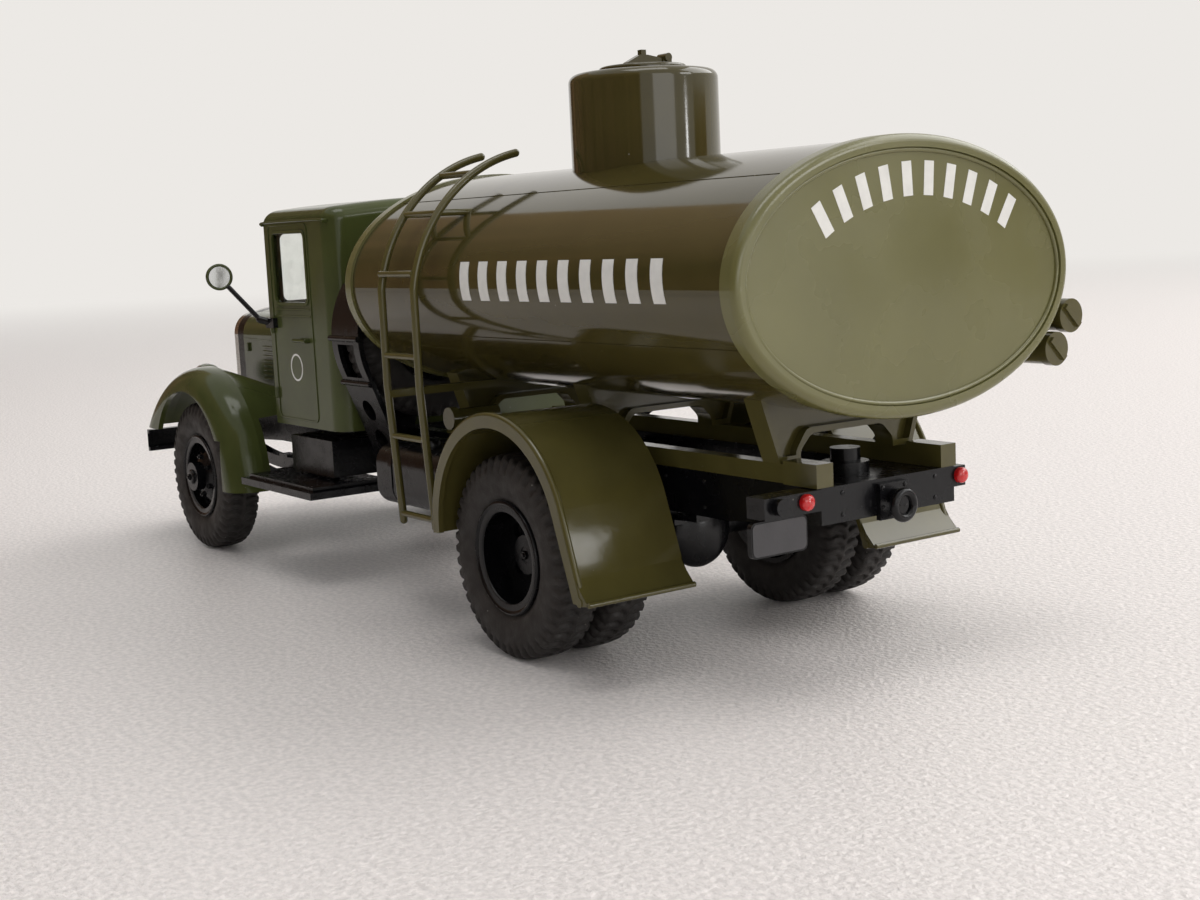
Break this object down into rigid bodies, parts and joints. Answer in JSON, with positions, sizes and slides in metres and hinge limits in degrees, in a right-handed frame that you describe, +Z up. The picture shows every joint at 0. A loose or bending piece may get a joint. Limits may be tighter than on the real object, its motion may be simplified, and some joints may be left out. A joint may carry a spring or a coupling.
{
  "type": "scale model tanker truck",
  "caption": "Small-scale model of a bonneted tanker truck with an elliptical tank, filling dome, side ladder, hose tubes and rolling twin rear wheels.",
  "frame": {"origin": "on the ground, half way between the tank's rear rim and the bumper's front face, in the truck's middle plane", "axes": "+X forward along the truck, +Y to its left side, +Z up"},
  "size_m": [0.1758, 0.0612, 0.0762],
  "materials": {
    "tank_olive": "glossy dark olive",
    "cap_olive": "satin olive",
    "satin_olive": "satin olive",
    "cab_green": "satin green olive",
    "chassis_black": "satin black",
    "tyre": "matte dark grey",
    "clear_pane": "clear",
    "lamp_glass": "ribbed clear",
    "mirror_glass": "polished",
    "red_lens": "glossy red",
    "cab_inside": "matte dark",
    "bright_metal": "bright"
  },
  "bodies": {
    "truck": {"battery_box": "chassis_black", "cab_floor": "cab_inside", "cab_glazing": "clear_pane", "cab_shell": "cab_green", "crossmembers": "chassis_black", "dashboard": "cab_inside", "dome": "tank_olive", "dome_hatch": "tank_olive", "engine_block": "chassis_black", "fender_front_left": "cab_green", "fender_front_right": "cab_green", "frame_rail_left": "chassis_black", "frame_rail_right": "chassis_black", "front_axle": "chassis_black", "front_bumper": "chassis_black", "fuel_tank": "chassis_black", "grille": "bright_metal", "headlamp_glasses": "lamp_glass", "headlamps": "cab_green", "hood": "cab_green", "hose_brackets": "chassis_black", "hose_tubes": "satin_olive", "ladder": "satin_olive", "lamp_brackets": "chassis_black", "mirror_glasses": "mirror_glass", "mirrors": "chassis_black", "mudguard_left": "satin_olive", "mudguard_right": "satin_olive", "number_plate": "chassis_black", "outlet_valve": "satin_olive", "propeller_shaft": "chassis_black", "radiator": "chassis_black", "rear_axle": "chassis_black", "rear_beam": "chassis_black", "seat": "cab_inside", "spare_carrier": "chassis_black", "spare_rim": "chassis_black", "spare_tyre": "tyre", "springs_front": "chassis_black", "springs_rear": "chassis_black", "steering_wheel": "cab_inside", "steps": "chassis_black", "tail_lamps": "red_lens", "tank_bearers": "satin_olive", "tank_cap_front": "cap_olive", "tank_cap_rear": "cap_olive", "tank_saddles": "satin_olive", "tank_shell": "tank_olive", "tow_hook": "chassis_black"},
    "wheel_front_left": {"tyre_front_left": "tyre", "rim_front_left": "chassis_black"},
    "wheel_front_right": {"tyre_front_right": "tyre", "rim_front_right": "chassis_black"},
    "wheels_rear_left": {"tyres_rear_left": "tyre", "rims_rear_left": "chassis_black"},
    "wheels_rear_right": {"tyres_rear_right": "tyre", "rims_rear_right": "chassis_black"}
  },
  "joints": [
    {"name": "roll_front_left", "type": "hinge", "parent": "truck", "child": "wheel_front_left", "pos_m": [0.06055, 0.0236, 0.013], "axis": [0, 1, 0], "continuous": true},
    {"name": "roll_front_right", "type": "hinge", "parent": "truck", "child": "wheel_front_right", "pos_m": [0.06055, -0.0236, 0.013], "axis": [0, 1, 0], "continuous": true},
    {"name": "roll_rear_left", "type": "hinge", "parent": "truck", "child": "wheels_rear_left", "pos_m": [-0.04455, 0.0215, 0.013], "axis": [0, 1, 0], "continuous": true},
    {"name": "roll_rear_right", "type": "hinge", "parent": "truck", "child": "wheels_rear_right", "pos_m": [-0.04455, -0.0215, 0.013], "axis": [0, 1, 0], "continuous": true}
  ]
}
